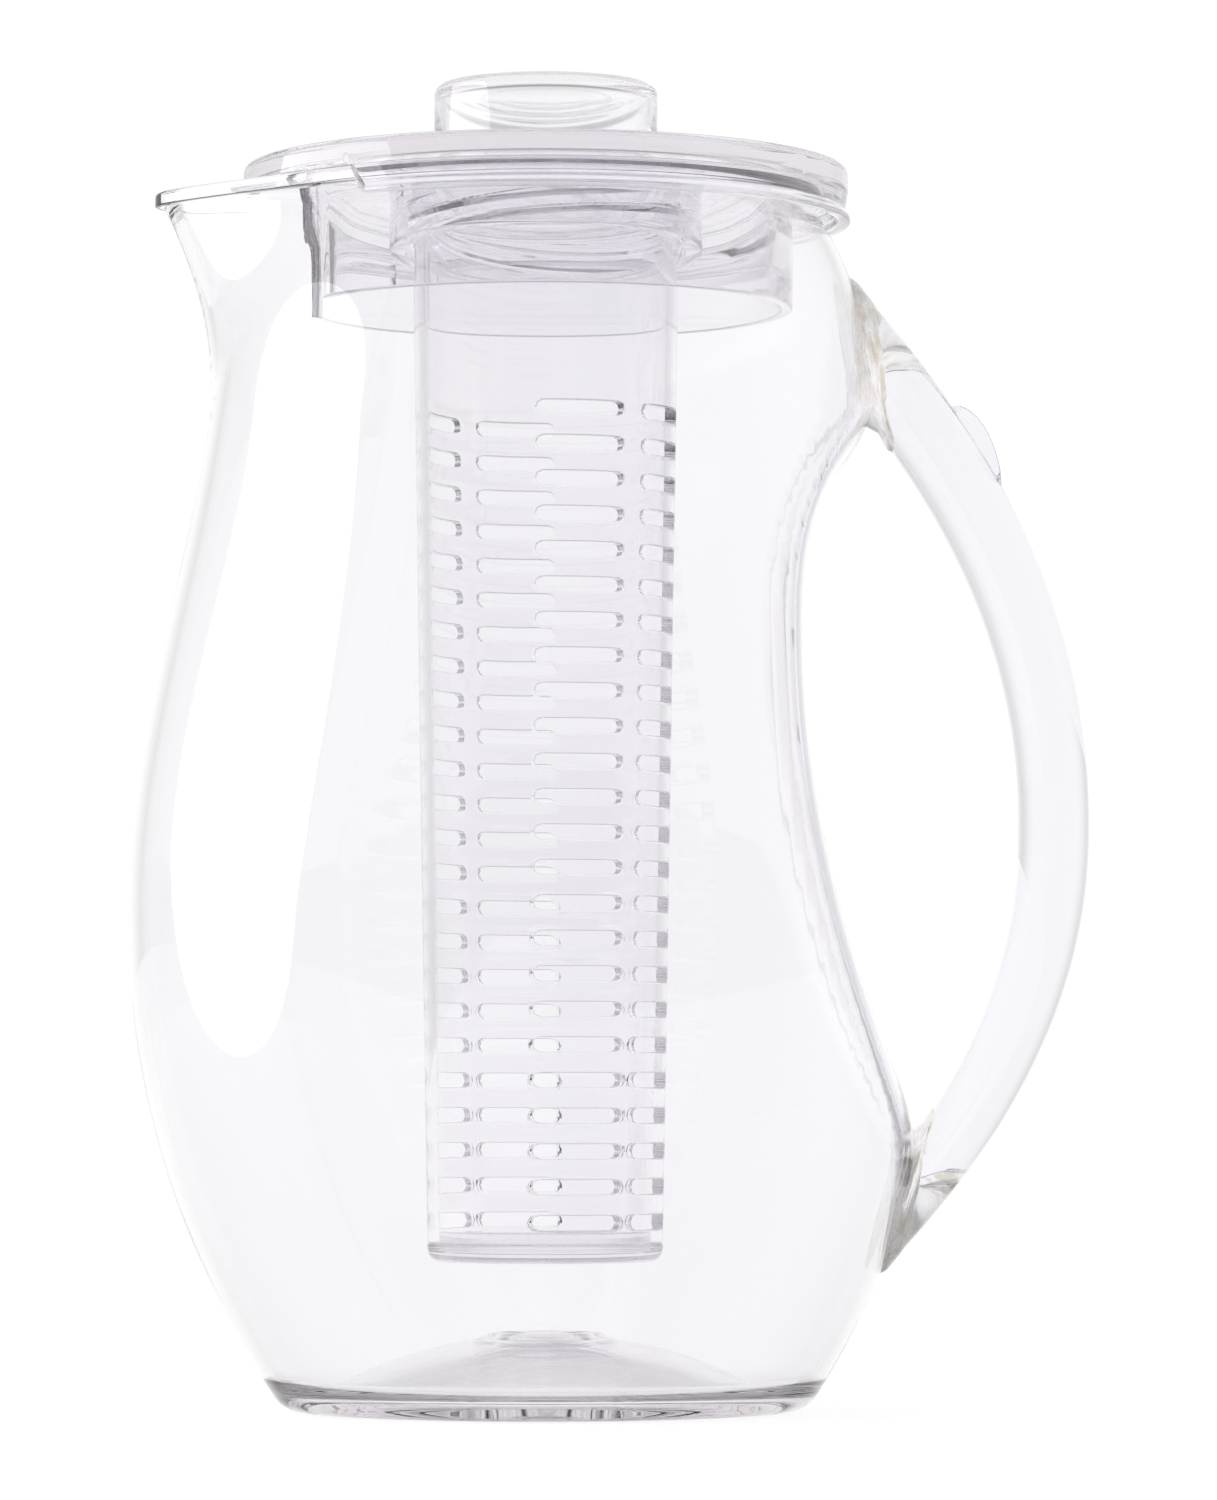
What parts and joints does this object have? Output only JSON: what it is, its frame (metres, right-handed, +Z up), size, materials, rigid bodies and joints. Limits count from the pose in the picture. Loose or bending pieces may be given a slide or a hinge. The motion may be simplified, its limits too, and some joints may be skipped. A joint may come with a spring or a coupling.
{
  "type": "fruit infuser pitcher",
  "caption": "Clear plastic pitcher with a beaked spout, a bonded loop handle, a lift-off lid with a knob, and a slotted infuser tube that screws into the lid.",
  "frame": {"origin": "on the pitcher's axis, on the surface it stands on", "axes": "+Z up, the handle along +X, the spout along -X"},
  "size_m": [0.2106, 0.1582, 0.2907],
  "materials": {
    "clear_body": "clear moulded",
    "clear_handle": "clear moulded",
    "weld": "streaky solvent bond",
    "clear_lid": "clear moulded",
    "clear_tube": "clear moulded"
  },
  "bodies": {
    "pitcher": {"pitcher_body_lower": "clear_body", "pitcher_body_upper": "clear_body", "handle": "clear_handle", "handle_weld_upper": "weld", "handle_weld_lower": "weld"},
    "lid": {"lid": "clear_lid", "lid_collar": "clear_lid", "lid_knob": "clear_lid"},
    "end_cap": {"infuser_end_cap": "clear_tube"},
    "tube": {"infuser_tube": "clear_tube"}
  },
  "joints": [
    {"name": "lid_lift", "type": "slide", "parent": "pitcher", "child": "lid", "axis": [0, 0, 1], "range_m": [0, 0.25]},
    {"name": "tube_travel", "type": "slide", "parent": "lid", "child": "end_cap", "axis": [0, 0, -1], "range_m": [0, 0.0118]},
    {"name": "tube_unscrew", "type": "hinge", "parent": "end_cap", "child": "tube", "pos_m": [0, 0, 0.15], "axis": [0, 0, -1], "range_deg": [0, 300]}
  ],
  "couplings": [
    {"joint": "tube_travel", "follows": "tube_unscrew", "m_per_rad": 0.0022282}
  ]
}
